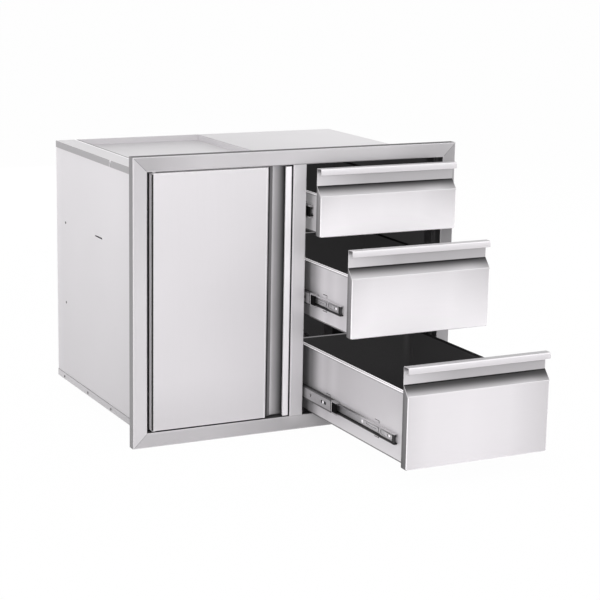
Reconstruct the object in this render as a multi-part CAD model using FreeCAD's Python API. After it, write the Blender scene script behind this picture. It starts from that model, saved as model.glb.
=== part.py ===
import FreeCAD, Part
import math
import os

# Built-in outdoor kitchen unit: a door compartment on the left, three drawers on the right.
# Lengths are in millimetres. X runs to the right seen from the front, Y to the back and Z up.
# All pieces are drawn with Y = 0 on the back plane of the trim and Z = 0 on the box underside.
# write() then moves Y = 0 to the middle of the box, so the origin is the middle of its underside.

# Trim frame that covers the edge of the cut-out
TRIM_WIDTH = 750.0
TRIM_HEIGHT = 604.0
TRIM_FACE = 31.0
TRIM_DEPTH = 21.0
TRIM_SHEET = 1.2
TRIM_BACK_FLANGE = 17.0
STILE_BACK_FLANGE = 9.0
TRIM_BEND = 1.3
STILE_CENTRE = -2.0
TRIM_DROP = 25.0
TRIM_TOP_COVER = 32.0

# Box behind the trim
BOX_DEPTH = 520.0
BOX_SHEET = 1.0
BOX_SIDE_SETBACK = 3.0
BOX_FRONT_FLANGE = 16.0
BOX_REAR_FLANGE = 68.0
LID_LIP = 14.5
TRAY_LIP = 15.0
DIVIDER_RIGHT_OF_STILE = 3.5
DIVIDER_FLANGE = 10.0
RECESS_DEPTH = 13.0
RECESS_BORDER = 51.0
LIP_NOTCH = 3.0
LIP_NOTCH_PLACE = 178.0
SIDE_SLOT_LENGTH = 42.0
SIDE_SLOT_HEIGHT = 3.0
SIDE_SLOT_PLACE = 249.0
SIDE_SLOT_LEVEL = 371.0
LIP_SETBACK = 4.0

# Holes in the floor for screws into the shelf
FLOOR_HOLE = 2.75
FLOOR_HOLE_SPACING_X = 600.0
FLOOR_HOLE_SPACING_Y = 400.0

# Folded fronts: hooked lip, recessed wall, slope and flat face
FRONT_SHEET = 1.0
FRONT_DEPTH = 19.0
LIP_HEIGHT = 13.5
LIP_HEM = 5.0
WALL_HEIGHT = 37.0
HANDLE_HEIGHT = 57.6
LIP_BEND = 2.2
WALL_BEND = 1.2
HEM_BEND = 0.4
FACE_BEND = 1.0
PLATE_FLANGE = 9.0
PLATE_CREASE_GAP = 2.0

# Gaps around the fronts
FRONT_GAP = 3.0
DRAWER_SIDE_GAP = 2.0
DOOR_HINGE_GAP = 9.0

# Drawers, from the top one down: front height, opening in the rest pose
TOP_FRONT_HEIGHT = 143.0
MIDDLE_FRONT_HEIGHT = 182.0
OPEN_TOP = 61.0
OPEN_MIDDLE = 204.0
OPEN_BOTTOM = 438.0
DRAWER_REAR_CLEAR = 17.0
DRAWER_SHEET = 1.0
DRAWER_BEND = 0.8
DRAWER_FLOOR_RISE = 2.0
DRAWER_RIM_DROP = 2.0
RIM_WIDTH = 10.0
RIM_LIP = 6.0
BACK_PLATE_CLEAR = 0.3
SIDE_TAB_FLANGE = 12.0

# Ball slides with three members and two rows of balls between each pair
SLIDE_THICKNESS = 12.7
SLIDE_HEIGHT = 35.3
SLIDE_UNDER_DRAWER_LENGTH = 47.0
MID_UNDER_SLIDE_LENGTH = 52.0
SLIDE_ABOVE_FLOOR = 44.0
SLIDE_EDGE_CLEAR = 2.8
SLIDE_START = 5.0
INNER_START = 37.0
OUTER_SHEET = 1.1
MEMBER_SHEET = 1.0
MEMBER_BEND = 0.4
BALL_GAP_OUTER = 2.65
BALL_GAP_INNER = 2.5
BALL_CLEAR = 0.16
MID_LIP_GAP = 2.4
OUTER_TIP_GAP = 1.5
RACE_LIP = 2.6
CAGE_LENGTH = 62.0
CAGE_WALL = 0.7
CAGE_CLEAR = 0.25
REAR_CAGE_INSET = 62.0
BALL_PITCH = 36.0
BALLS_IN_ROW = 2
BUMPER_LENGTH = 20.0
BUMPER_CLEAR = 0.3
MID_SHARE = 0.45
MID_START = 54.0
MID_START_TOP = 22.0
MID_HOLE = 3.2
MID_HOLE_PLACE = 96.0
MID_SLOT_ENDS = (27.0, 47.0)
LEVER_LENGTH = 58.0
LEVER_WIDTH = 9.0

# Uprights that carry the slides
UPRIGHT_WIDTH = 30.0
UPRIGHT_SHEET = 1.2
UPRIGHT_FRONT = 12.0
UPRIGHT_REAR_CLEAR = 7.0

# Cuts in the drawer sides round the hooks of the slides
HOOK_PLACE = 122.0
HOOK_SPACING = 210.0
HOOK_LENGTH = 20.0
HOOK_HEIGHT = 6.0
HOOK_SLIT = 1.4
HOOK_MOUTH = 3.2
HOOK_CLEAR = 1.8

# Door pivots, catch and strike
PIVOT_FROM_EDGE = 8.0
PIVOT_DEPTH = 10.0
JOURNAL_RADIUS = 3.0
JOURNAL_CLEAR = 0.06
JOURNAL_LENGTH = 7.0
SHOULDER_RADIUS = 5.0
SHOULDER_INSIDE = 24.0
RUN_CLEAR = 0.3
CATCH_WIDTH = 42.0
CATCH_DEPTH = 14.0
CATCH_HEIGHT = 14.0
CATCH_FROM_STILE = 4.0
POLE_SHEET = 1.5
POLE_SPACING = 6.0
POLE_PROUD = 1.2
STRIKE_SHEET = 1.0
STRIKE_MARGIN = 4.0

# Places worked out from the sizes above
trim_left = -TRIM_WIDTH / 2
trim_right = TRIM_WIDTH / 2
trim_low = -TRIM_DROP
trim_high = trim_low + TRIM_HEIGHT
trim_front = -TRIM_DEPTH
hole_low = trim_low + TRIM_FACE
hole_high = trim_high - TRIM_FACE
door_hole_left = trim_left + TRIM_FACE
door_hole_right = STILE_CENTRE - TRIM_FACE / 2
drawer_hole_left = STILE_CENTRE + TRIM_FACE / 2
drawer_hole_right = trim_right - TRIM_FACE

front_back = trim_front + FRONT_DEPTH
box_high = trim_high - TRIM_TOP_COVER
lid_under = box_high - BOX_SHEET
side_inner_left = door_hole_left - BOX_SIDE_SETBACK
side_inner_right = drawer_hole_right + BOX_SIDE_SETBACK
side_outer_left = side_inner_left - BOX_SHEET
side_outer_right = side_inner_right + BOX_SHEET
box_left = side_outer_left - BOX_SHEET
box_right = side_outer_right + BOX_SHEET
divider_centre = STILE_CENTRE + DIVIDER_RIGHT_OF_STILE + BOX_SHEET / 2
divider_left = divider_centre - BOX_SHEET / 2
divider_right = divider_centre + BOX_SHEET / 2
recess_left = box_left + RECESS_BORDER
recess_floor = box_high - RECESS_DEPTH
upright_rear = BOX_DEPTH - BOX_REAR_FLANGE - UPRIGHT_REAR_CLEAR - UPRIGHT_WIDTH

slide_left = drawer_hole_left + SLIDE_EDGE_CLEAR
slide_right = drawer_hole_right - SLIDE_EDGE_CLEAR
drawer_left = slide_left + SLIDE_THICKNESS
drawer_right = slide_right - SLIDE_THICKNESS
drawer_middle = (drawer_left + drawer_right) / 2
drawer_length = BOX_DEPTH - BOX_SHEET - DRAWER_REAR_CLEAR - front_back
slide_length = drawer_length - SLIDE_UNDER_DRAWER_LENGTH
mid_length = slide_length - MID_UNDER_SLIDE_LENGTH
front_width = drawer_hole_right - drawer_hole_left - 2 * DRAWER_SIDE_GAP
bottom_front_height = hole_high - hole_low - 4 * FRONT_GAP - TOP_FRONT_HEIGHT - MIDDLE_FRONT_HEIGHT

door_left = door_hole_left + DOOR_HINGE_GAP
door_right = door_hole_right - FRONT_GAP
door_low = hole_low + FRONT_GAP
door_high = hole_high - FRONT_GAP
door_width = door_right - door_left
door_height = door_high - door_low
pivot_x = door_left + PIVOT_FROM_EDGE
pivot_y = trim_front + PIVOT_DEPTH

AXES = {"X": FreeCAD.Vector(1, 0, 0), "Y": FreeCAD.Vector(0, 1, 0), "Z": FreeCAD.Vector(0, 0, 1)}


def block(x_range, y_range, z_range):
    """A rectangular solid between three pairs of limits."""
    low = [min(pair) for pair in (x_range, y_range, z_range)]
    size = [abs(pair[1] - pair[0]) for pair in (x_range, y_range, z_range)]
    return Part.makeBox(size[0], size[1], size[2], FreeCAD.Vector(*low))


def rod(radius, start, axis, length):
    """A round bar from start along one of the axes."""
    direction = AXES[axis] * (1 if length > 0 else -1)
    return Part.makeCylinder(radius, abs(length), FreeCAD.Vector(*start), direction)


def offset_path(points, distance):
    """The path moved to its left by the distance, with mitred corners."""
    moved = []
    count = len(points)
    for index in range(count):
        normals = []
        for first, second in ((index - 1, index), (index, index + 1)):
            if first < 0 or second >= count:
                continue
            du = points[second][0] - points[first][0]
            dv = points[second][1] - points[first][1]
            length = math.hypot(du, dv)
            normals.append((-dv / length, du / length))
        nu = sum(normal[0] for normal in normals) / len(normals)
        nv = sum(normal[1] for normal in normals) / len(normals)
        scale = distance / (nu * nu + nv * nv)
        moved.append((points[index][0] + nu * scale, points[index][1] + nv * scale))
    return moved


def turn_at(points, index):
    """The signed angle by which the path turns at a corner, positive to the left."""
    before = math.atan2(points[index][1] - points[index - 1][1], points[index][0] - points[index - 1][0])
    after = math.atan2(points[index + 1][1] - points[index][1], points[index + 1][0] - points[index][0])
    return (after - before + math.pi) % (2 * math.pi) - math.pi


def rounded_edges(points, radii, to_space):
    """Straight edges along the path with an arc at each corner that has a radius."""
    edges = []
    here = points[0]
    for index in range(1, len(points) - 1):
        corner = points[index]
        radius = radii[index - 1]
        if radius <= 0:
            edges.append(Part.LineSegment(to_space(here), to_space(corner)).toShape())
            here = corner
            continue
        turn = abs(turn_at(points, index))
        reach = radius * math.tan(turn / 2)
        ends = []
        for other in (points[index - 1], points[index + 1]):
            length = math.hypot(other[0] - corner[0], other[1] - corner[1])
            share = reach / length
            ends.append(tuple(corner[k] + (other[k] - corner[k]) * share for k in range(2)))
        chord_middle = tuple((ends[0][k] + ends[1][k]) / 2 for k in range(2))
        to_chord = math.hypot(chord_middle[0] - corner[0], chord_middle[1] - corner[1])
        to_arc = radius / math.cos(turn / 2) - radius
        arc_middle = tuple(corner[k] + (chord_middle[k] - corner[k]) * to_arc / to_chord for k in range(2))
        edges.append(Part.LineSegment(to_space(here), to_space(ends[0])).toShape())
        edges.append(Part.Arc(to_space(ends[0]), to_space(arc_middle), to_space(ends[1])).toShape())
        here = ends[1]
    edges.append(Part.LineSegment(to_space(here), to_space(points[-1])).toShape())
    return edges


def folded_sheet(points, sheet, bends, plane, start, length):
    """A bent sheet: the path is one surface, the sheet lies to its left, and it runs square to the plane.

    bends gives the inside radius of each corner, or None for a sharp one.
    """
    run_axis = [axis for axis in "XYZ" if axis not in plane][0]
    base = AXES[run_axis] * start

    def to_space(point):
        return base + AXES[plane[0]] * point[0] + AXES[plane[1]] * point[1]

    if not isinstance(bends, (list, tuple)):
        bends = [bends] * (len(points) - 2)
    near_radii = []
    far_radii = []
    for index in range(1, len(points) - 1):
        bend = bends[index - 1]
        sharp = bend is None
        left_turn = turn_at(points, index) > 0
        near_radii.append(0 if sharp else bend + (sheet if left_turn else 0))
        far_radii.append(0 if sharp else bend + (0 if left_turn else sheet))
    far = offset_path(points, sheet)
    near_edges = rounded_edges(points, near_radii, to_space)
    far_edges = rounded_edges(far, far_radii, to_space)
    end_edge = Part.LineSegment(to_space(points[-1]), to_space(far[-1])).toShape()
    start_edge = Part.LineSegment(to_space(far[0]), to_space(points[0])).toShape()
    wire = Part.Wire(Part.__sortEdges__(near_edges + [end_edge] + far_edges + [start_edge]))
    return Part.Face(wire).extrude(AXES[run_axis] * length)


def flat_plate(points, plane, start, sheet):
    """A flat plate with a straight-sided outline in the plane."""
    run_axis = [axis for axis in "XYZ" if axis not in plane][0]
    base = AXES[run_axis] * start
    corners = [base + AXES[plane[0]] * point[0] + AXES[plane[1]] * point[1] for point in points]
    return Part.Face(Part.makePolygon(corners + [corners[0]])).extrude(AXES[run_axis] * sheet)


def joined(shapes):
    """One solid from shapes that touch or overlap."""
    return shapes[0].multiFuse(shapes[1:]).removeSplitter()


def drilled(shape, tools):
    """The shape with the tools cut out of it."""
    return shape.cut(tools)


def group(shapes):
    """Separate solids that share one node."""
    return Part.makeCompound([solid for shape in shapes for solid in shape.Solids])


def mirrored(shape, plane_x):
    """The shape reflected in the upright plane at plane_x."""
    return shape.mirror(FreeCAD.Vector(plane_x, 0, 0), AXES["X"])


def moved(shape, x=0.0, y=0.0, z=0.0):
    copy = shape.copy()
    copy.translate(FreeCAD.Vector(x, y, z))
    return copy


def ball(radius, centre):
    """A ball drawn with fourteen flat faces."""
    half = radius / math.sqrt(2)
    tip = 2 * half
    ring = Part.makePolygon([(tip, 0, 0), (0, tip, 0), (-tip, 0, 0), (0, -tip, 0), (tip, 0, 0)])
    octahedron = Part.makeLoft([Part.Vertex(0, 0, -tip), ring, Part.Vertex(0, 0, tip)], True, True)
    piece = octahedron.common(block((-half, half), (-half, half), (-half, half)))
    return moved(piece, *centre)


# Trim frame

def trim_channel(length, centre):
    """An upright channel with an opening on its right: outer return, face, inner return and back flange."""
    left = centre - TRIM_FACE / 2
    right = centre + TRIM_FACE / 2
    rear = -BOX_SHEET
    path = [(left, 0), (left, trim_front), (right, trim_front), (right, rear),
            (right - TRIM_BACK_FLANGE, rear)]
    return folded_sheet(path, TRIM_SHEET, [TRIM_BEND, TRIM_BEND, None], "XY", 0, length)


def trim_side(sign):
    """The left piece for sign -1, the right piece for sign 1."""
    piece = trim_channel(TRIM_HEIGHT, trim_left + TRIM_FACE / 2)
    piece = moved(piece, z=trim_low)
    outer = trim_left
    inner = trim_left + TRIM_FACE
    outline = [(outer, trim_low), (inner, hole_low), (inner, hole_high), (outer, trim_high)]
    piece = piece.common(flat_plate(outline, "XZ", trim_front, TRIM_DEPTH))
    return piece if sign < 0 else mirrored(piece, 0)


def trim_rail(sign):
    """The bottom rail for sign -1, the top rail for sign 1, with the hole that the door turns in."""
    piece = trim_channel(TRIM_WIDTH, TRIM_FACE / 2)
    piece.rotate(FreeCAD.Vector(0, 0, 0), AXES["Y"], -90)
    piece = moved(piece, x=trim_right, z=trim_low)
    outline = [(trim_left, trim_low), (trim_right, trim_low), (drawer_hole_right, hole_low),
               (door_hole_left, hole_low)]
    piece = piece.common(flat_plate(outline, "XZ", trim_front, TRIM_DEPTH))
    if sign > 0:
        piece = piece.mirror(FreeCAD.Vector(0, 0, (trim_low + trim_high) / 2), AXES["Z"])
    level = hole_low if sign < 0 else hole_high
    pivot_hole = rod(JOURNAL_RADIUS + JOURNAL_CLEAR, (pivot_x, pivot_y, level - TRIM_FACE / 2), "Z", TRIM_FACE)
    return drilled(piece, [pivot_hole])


def centre_stile():
    """The post between the door opening and the drawer opening."""
    left = door_hole_right
    right = drawer_hole_left
    rear = -BOX_SHEET
    path = [(left + STILE_BACK_FLANGE, rear), (left, rear), (left, trim_front), (right, trim_front),
            (right, rear), (right - STILE_BACK_FLANGE, rear)]
    bends = [None, TRIM_BEND, TRIM_BEND, None]
    return folded_sheet(path, TRIM_SHEET, bends, "XY", hole_low, hole_high - hole_low)


# Box

def side_panel(sign):
    """A side sheet with a front flange turned outwards over the island face."""
    path = [(side_outer_left - BOX_FRONT_FLANGE, -BOX_SHEET), (side_inner_left, -BOX_SHEET),
            (side_inner_left, BOX_DEPTH)]
    panel = folded_sheet(path, BOX_SHEET, None, "XY", BOX_SHEET, lid_under - BOX_SHEET)
    if sign > 0:
        return mirrored(panel, 0)
    slot_start = SIDE_SLOT_PLACE - SIDE_SLOT_LENGTH / 2
    slot_low = SIDE_SLOT_LEVEL - SIDE_SLOT_HEIGHT / 2
    slot = block((box_left, side_inner_left + BOX_SHEET), (slot_start, slot_start + SIDE_SLOT_LENGTH),
                 (slot_low, slot_low + SIDE_SLOT_HEIGHT))
    return drilled(panel, [slot])


def bottom_panel():
    """The floor tray: side lips turned up outside the side sheets, front flange turned down."""
    path = [(box_left, TRAY_LIP), (box_left, 0), (box_right, 0), (box_right, TRAY_LIP)]
    tray = folded_sheet(path, BOX_SHEET, 0, "XZ", 0, BOX_DEPTH)
    flange = block((side_outer_left, side_outer_right), (-BOX_SHEET, 0),
                   (BOX_SHEET - BOX_FRONT_FLANGE, BOX_SHEET))
    apron = block((side_outer_left, side_outer_right), (-BOX_SHEET, BOX_SHEET), (0, BOX_SHEET))
    cuts = []
    for x in (-FLOOR_HOLE_SPACING_X / 2, FLOOR_HOLE_SPACING_X / 2):
        for y in (-FLOOR_HOLE_SPACING_Y / 2, FLOOR_HOLE_SPACING_Y / 2):
            cuts.append(rod(FLOOR_HOLE, (x, BOX_DEPTH / 2 + y, -BOX_SHEET), "Z", 3 * BOX_SHEET))
    for edge in ((box_left, side_outer_left), (side_outer_right, box_right)):
        cuts.append(block(edge, (0, LIP_SETBACK), (0, TRAY_LIP)))
    return drilled(joined([tray, flange, apron]), cuts)


def drawer_side_lid():
    """The plain lid over the drawers, with a side lip and a front flange turned up behind the trim."""
    path = [(box_right, box_high - LID_LIP), (box_right, box_high), (divider_left - BOX_SHEET, box_high)]
    lid = folded_sheet(path, BOX_SHEET, 0, "XZ", 0, BOX_DEPTH - BOX_SHEET)
    flange = block((divider_left - BOX_SHEET, side_outer_right), (-BOX_SHEET, 0),
                   (lid_under, lid_under + BOX_FRONT_FLANGE))
    apron = block((divider_left - BOX_SHEET, side_outer_right), (-BOX_SHEET, BOX_SHEET), (lid_under, box_high))
    setback = block((side_outer_right, box_right), (0, LIP_SETBACK), (box_high - LID_LIP, box_high))
    return drilled(joined([lid, flange, apron]), [setback])


def door_side_lid():
    """The lid over the door compartment: a border strip, then a pan set lower than the border."""
    wall = divider_left
    pan_under = recess_floor - BOX_SHEET
    path = [(side_outer_left, box_high - LID_LIP), (side_outer_left, lid_under), (recess_left, lid_under),
            (recess_left, pan_under), (wall, pan_under), (wall, lid_under)]
    lid = folded_sheet(path, BOX_SHEET, [0, None, None, None], "XZ", 0, BOX_DEPTH - BOX_SHEET)
    pan_front = block((recess_left, wall), (-BOX_SHEET, 0), (pan_under, lid_under))
    pan_apron = block((recess_left, wall), (-BOX_SHEET, BOX_SHEET), (pan_under, recess_floor))
    top_flange = block((side_outer_left, wall - BOX_SHEET), (-BOX_SHEET, 0),
                       (lid_under, lid_under + BOX_FRONT_FLANGE))
    border_apron = block((side_outer_left, recess_left), (-BOX_SHEET, BOX_SHEET), (lid_under, box_high))
    pan_rear = block((recess_left + BOX_SHEET / 2, wall - BOX_SHEET),
                     (BOX_DEPTH - 2 * BOX_SHEET, BOX_DEPTH - BOX_SHEET), (pan_under + BOX_SHEET / 2, box_high))
    notch = block((box_left - BOX_SHEET, side_outer_left), (LIP_NOTCH_PLACE, LIP_NOTCH_PLACE + LIP_NOTCH),
                  (0, box_high - LID_LIP / 2))
    setback = block((box_left, side_outer_left), (0, LIP_SETBACK), (box_high - LID_LIP, box_high))
    return drilled(joined([lid, pan_front, pan_apron, top_flange, border_apron, pan_rear]), [notch, setback])


def rear_panel():
    """The back sheet with side flanges turned forwards inside the side sheets."""
    rear = BOX_DEPTH
    path = [(side_inner_right, rear - BOX_REAR_FLANGE), (side_inner_right, rear), (side_inner_left, rear),
            (side_inner_left, rear - BOX_REAR_FLANGE)]
    panel = folded_sheet(path, BOX_SHEET, None, "XY", BOX_SHEET, lid_under - BOX_SHEET)
    top_edge = block((side_inner_left, side_inner_right), (rear - BOX_SHEET, rear), (lid_under, box_high))
    return joined([panel, top_edge])


def divider():
    """The wall between the compartments, flanged onto the back of the centre stile."""
    path = [(divider_left, BOX_DEPTH - BOX_SHEET), (divider_left, -BOX_SHEET),
            (divider_left + DIVIDER_FLANGE, -BOX_SHEET)]
    return folded_sheet(path, BOX_SHEET, None, "XY", BOX_SHEET, lid_under - BOX_SHEET)


def upright(depth, place):
    """A channel on the left wall of the drawer space, with its web facing the drawers."""
    wall = slide_left - depth
    path = [(wall, place), (slide_left, place), (slide_left, place + UPRIGHT_WIDTH), (wall, place + UPRIGHT_WIDTH)]
    return folded_sheet(path, UPRIGHT_SHEET, None, "XY", BOX_SHEET, lid_under - BOX_SHEET)


# Folded fronts

def folded_front(span, length):
    """A front in its own frame: X along the lip, Y inwards, Z from the lip to the far edge."""
    half = length / 2
    sheet = FRONT_SHEET
    side_round = FACE_BEND + sheet
    upper = [(LIP_HEM, LIP_HEIGHT), (0, LIP_HEIGHT), (0, 0), (FRONT_DEPTH, 0), (FRONT_DEPTH, WALL_HEIGHT),
             (sheet, HANDLE_HEIGHT), (sheet, HANDLE_HEIGHT + side_round)]
    bends = [HEM_BEND, LIP_BEND, WALL_BEND, WALL_BEND, WALL_BEND]
    handle = folded_sheet(upper, sheet, bends, "YZ", -half, length)
    lower = [(sheet, HANDLE_HEIGHT + sheet), (sheet, span - sheet), (FRONT_DEPTH, span - sheet)]
    face = folded_sheet(lower, sheet, FACE_BEND, "YZ", side_round - half, length - 2 * side_round)
    across = [(-half, FRONT_DEPTH), (-half, 0), (half, 0), (half, FRONT_DEPTH)]
    returns = folded_sheet(across, sheet, FACE_BEND, "XY", HANDLE_HEIGHT + sheet,
                           span - HANDLE_HEIGHT - sheet - side_round)
    shapes = [handle, face, returns]
    slope = offset_path([(FRONT_DEPTH, WALL_HEIGHT), (sheet, HANDLE_HEIGHT)], sheet / 2)
    top = HANDLE_HEIGHT + 2 * sheet
    gusset = slope + [(slope[1][0], top), (FRONT_DEPTH, top), (FRONT_DEPTH, WALL_HEIGHT)]
    for start in (-half, half - sheet):
        shapes.append(flat_plate(gusset, "YZ", start, sheet))
    return joined(shapes)


def front_plate(span, length):
    """The plate that closes the back of a front, flanged inside its returns, in the front's frame."""
    half = length / 2 - FRONT_SHEET
    tip = FRONT_DEPTH - PLATE_FLANGE
    path = [(half, tip), (half, FRONT_DEPTH), (-half, FRONT_DEPTH), (-half, tip)]
    low = WALL_HEIGHT + PLATE_CREASE_GAP
    plate = folded_sheet(path, FRONT_SHEET, None, "XY", low, span - FRONT_SHEET - low)
    beyond = tip - FRONT_SHEET
    rear = FRONT_DEPTH - FRONT_SHEET
    steepness = (HANDLE_HEIGHT - WALL_HEIGHT) / rear
    slope = [(beyond, 0), (rear, 0), (rear, low), (beyond, low + PLATE_FLANGE * steepness)]
    return plate.cut(flat_plate(slope, "YZ", -length, 2 * length))


def on_drawer(shape, front_high):
    """From the front's frame to a closed drawer whose lip is at front_high."""
    placed = shape.copy()
    placed.rotate(FreeCAD.Vector(0, 0, 0), AXES["Y"], 180)
    return moved(placed, drawer_middle, trim_front, front_high)


def on_door(shape):
    """From the front's frame to the closed door, with its lip on the right."""
    placed = shape.copy()
    placed.rotate(FreeCAD.Vector(0, 0, 0), AXES["Y"], -90)
    return moved(placed, door_right, trim_front, (door_low + door_high) / 2)


# Door

def door_skin():
    pin_hole = rod(SHOULDER_RADIUS, (pivot_x, pivot_y, hole_low), "Z", hole_high - hole_low)
    return drilled(on_door(folded_front(door_width, door_height)), [pin_hole])


def door_plate():
    """The door's rear plate, notched round the pivot pins."""
    notch = rod(SHOULDER_RADIUS + RUN_CLEAR, (pivot_x, pivot_y, door_low), "Z", door_height)
    return drilled(on_door(front_plate(door_width, door_height)), [notch])


def pivot_pins():
    """Two shouldered pins held in the door, whose journals run in the rails."""
    shoulder_low = hole_low + RUN_CLEAR
    shoulder = rod(SHOULDER_RADIUS, (pivot_x, pivot_y, shoulder_low), "Z", door_low + SHOULDER_INSIDE - shoulder_low)
    journal = rod(JOURNAL_RADIUS, (pivot_x, pivot_y, shoulder_low), "Z", -JOURNAL_LENGTH)
    lower = joined([shoulder, journal])
    upper = lower.mirror(FreeCAD.Vector(0, 0, (hole_low + hole_high) / 2), AXES["Z"])
    return group([lower, upper])


catch_right = door_hole_right - CATCH_FROM_STILE
catch_left = catch_right - CATCH_WIDTH
catch_high = recess_floor - BOX_SHEET
catch_middle = catch_high - CATCH_HEIGHT / 2
pole_front = front_back + STRIKE_SHEET + RUN_CLEAR
catch_front = pole_front + POLE_PROUD


def magnetic_catch():
    """The catch under the lid: a case with two pole plates that stand proud of it."""
    case = block((catch_left, catch_right), (catch_front, catch_front + CATCH_DEPTH),
                 (catch_high - CATCH_HEIGHT, catch_high))
    poles = []
    for side in (-1, 1):
        middle = catch_middle + side * POLE_SPACING / 2
        poles.append(block((catch_left + STRIKE_MARGIN, catch_right - STRIKE_MARGIN),
                           (pole_front, catch_front + CATCH_DEPTH - STRIKE_MARGIN),
                           (middle - POLE_SHEET / 2, middle + POLE_SHEET / 2)))
    return group([drilled(case, poles)] + poles)


def strike_plate():
    """The steel plate on the back of the door that the catch holds."""
    return block((catch_left + STRIKE_MARGIN, catch_right - STRIKE_MARGIN), (front_back, front_back + STRIKE_SHEET),
                 (catch_high - CATCH_HEIGHT + STRIKE_MARGIN / 2, catch_high - STRIKE_MARGIN / 2))


# Slides, drawn for the left side with the cabinet face at slide_left

outer_half = SLIDE_HEIGHT / 2
mid_half = outer_half - OUTER_SHEET - BALL_GAP_OUTER
inner_half = mid_half - MEMBER_SHEET - BALL_GAP_INNER
cage_space = CAGE_WALL + 2 * CAGE_CLEAR
outer_tip = SLIDE_THICKNESS - OUTER_TIP_GAP
mid_web = OUTER_SHEET + cage_space
mid_tip = SLIDE_THICKNESS - MID_LIP_GAP
inner_tip = mid_web + MEMBER_SHEET + cage_space


def channel(web, tip, half, lip, sheet, bend, start, length):
    """A C-section whose web is at web and whose flanges end at tip, in a slide's section plane."""
    path = [(tip, half - lip), (tip, half), (web, half), (web, -half), (tip, -half), (tip, lip - half)]
    bends = [None, bend, bend, None]
    if web > tip:
        path.reverse()
    if lip == 0:
        path = path[1:-1]
        bends = bends[1:-1]
    return folded_sheet(path, sheet, bends, "XZ", start, length)


def outer_member():
    """The member fixed to the uprights."""
    return channel(0, outer_tip, outer_half, RACE_LIP, OUTER_SHEET, None, SLIDE_START, slide_length)


def mid_member(start):
    """The member that runs between the other two, with an access slot and an access hole at the front."""
    lip = RACE_LIP - CAGE_WALL
    member = channel(mid_web, mid_tip, mid_half, lip, MEMBER_SHEET, None, start, mid_length)
    places = (*MID_SLOT_ENDS, MID_HOLE_PLACE)
    cuts = [rod(MID_HOLE, (0, start + place, 0), "X", SLIDE_THICKNESS / 2) for place in places]
    slot_start, slot_end = MID_SLOT_ENDS
    cuts.append(block((0, SLIDE_THICKNESS / 2), (start + slot_start, start + slot_end), (-MID_HOLE, MID_HOLE)))
    return drilled(member, cuts)


def inner_member():
    """The member fixed to the drawer side, with the release lever in its front end."""
    member = channel(SLIDE_THICKNESS, inner_tip, inner_half, 0, MEMBER_SHEET, MEMBER_BEND, INNER_START, slide_length)
    web_face = SLIDE_THICKNESS - MEMBER_SHEET
    lever_start = INNER_START + CAGE_CLEAR + MEMBER_SHEET
    lever = block((web_face - 2 * MEMBER_SHEET, web_face), (lever_start, lever_start + LEVER_LENGTH),
                  (-LEVER_WIDTH / 2, LEVER_WIDTH / 2))
    return joined([member, lever])


def ball_cage(web, tip, half_out, half_in, start):
    """A cage strip between two members, with its balls in pockets of the top and bottom walls."""
    middle = (half_out + half_in) / 2
    cage_web = web + CAGE_CLEAR
    cage_tip = tip - CAGE_CLEAR
    cage_half = middle + CAGE_WALL / 2
    path = [(cage_tip, cage_half), (cage_web, cage_half), (cage_web, -cage_half), (cage_tip, -cage_half)]
    strip = folded_sheet(path, CAGE_WALL, None, "XZ", start, CAGE_LENGTH)
    radius = (half_out - half_in) / 2 - BALL_CLEAR
    ball_x = (cage_web + cage_tip) / 2
    room = radius + BALL_CLEAR
    balls = []
    pockets = []
    for index in range(BALLS_IN_ROW):
        y = start + CAGE_LENGTH / 2 + (index - (BALLS_IN_ROW - 1) / 2) * BALL_PITCH
        pockets.append(block((ball_x - room, ball_x + room), (y - room, y + room), (-2 * middle, 2 * middle)))
        balls += [ball(radius, (ball_x, y, side * middle)) for side in (-1, 1)]
    return drilled(strip, pockets), balls


def cages(start):
    """The ball cage inside the front of the middle member and the one outside its rear end."""
    front, front_balls = ball_cage(mid_web + MEMBER_SHEET, mid_tip - MEMBER_SHEET, mid_half - MEMBER_SHEET,
                                   inner_half, start)
    rear_start = start + mid_length - REAR_CAGE_INSET - CAGE_LENGTH
    rear, rear_balls = ball_cage(OUTER_SHEET, outer_tip - OUTER_SHEET, outer_half - OUTER_SHEET, mid_half, rear_start)
    return group([front, rear] + front_balls + rear_balls)


def bumper(start):
    """The plastic end piece on the front of the middle member, open towards the drawer."""
    half = mid_half - BUMPER_CLEAR
    hollow_half = inner_half + BUMPER_CLEAR
    body = block((mid_web, mid_tip), (start - BUMPER_LENGTH, start), (-half, half))
    hollow = block((inner_tip - BUMPER_CLEAR, SLIDE_THICKNESS), (start - 2 * BUMPER_LENGTH, start + BUMPER_LENGTH),
                   (-hollow_half, hollow_half))
    return body.cut(hollow)


def on_slide(shape, height):
    """From the slide's section to its place on the left side at a height."""
    return moved(shape, slide_left, 0, height)


# Drawers

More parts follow.
